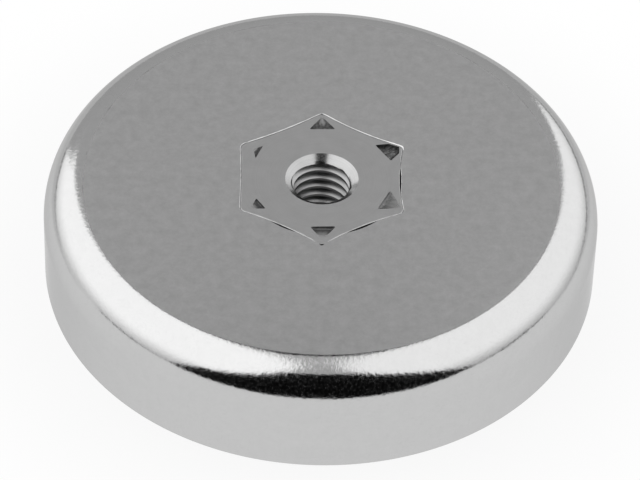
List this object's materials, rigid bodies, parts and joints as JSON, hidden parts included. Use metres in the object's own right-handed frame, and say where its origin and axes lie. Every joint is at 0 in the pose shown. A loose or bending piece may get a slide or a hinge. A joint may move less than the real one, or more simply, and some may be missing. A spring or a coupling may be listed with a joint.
{
  "type": "pot magnet",
  "caption": "Shallow round pot magnet with a rounded back edge, a flat holding face and a threaded hole in a staked hexagonal insert.",
  "frame": {"origin": "centre of the holding face, which the rim and the magnet share", "axes": "+Z along the axis, from the holding face to the threaded hole in the back; two corners of the hexagon lie on the Y axis"},
  "size_m": [0.05, 0.05, 0.01],
  "materials": {
    "plated_steel": "bright nickel or zinc plating over drawn steel sheet: satin on the flat back, mirror-like on the wall and the rounded edge",
    "plated_insert": "plated machined steel, pressed flat by the staking tool, with bright cut threads",
    "ferrite": "dark grey sintered ferrite, ground flat on the holding face",
    "resin": "black epoxy resin, cast, slightly glossy"
  },
  "bodies": {
    "root": {"pot_shell": "plated_steel", "threaded_insert": "plated_insert", "ring_magnet": "ferrite", "outer_resin_ring": "resin", "inner_resin_ring": "resin"}
  },
  "joints": []
}
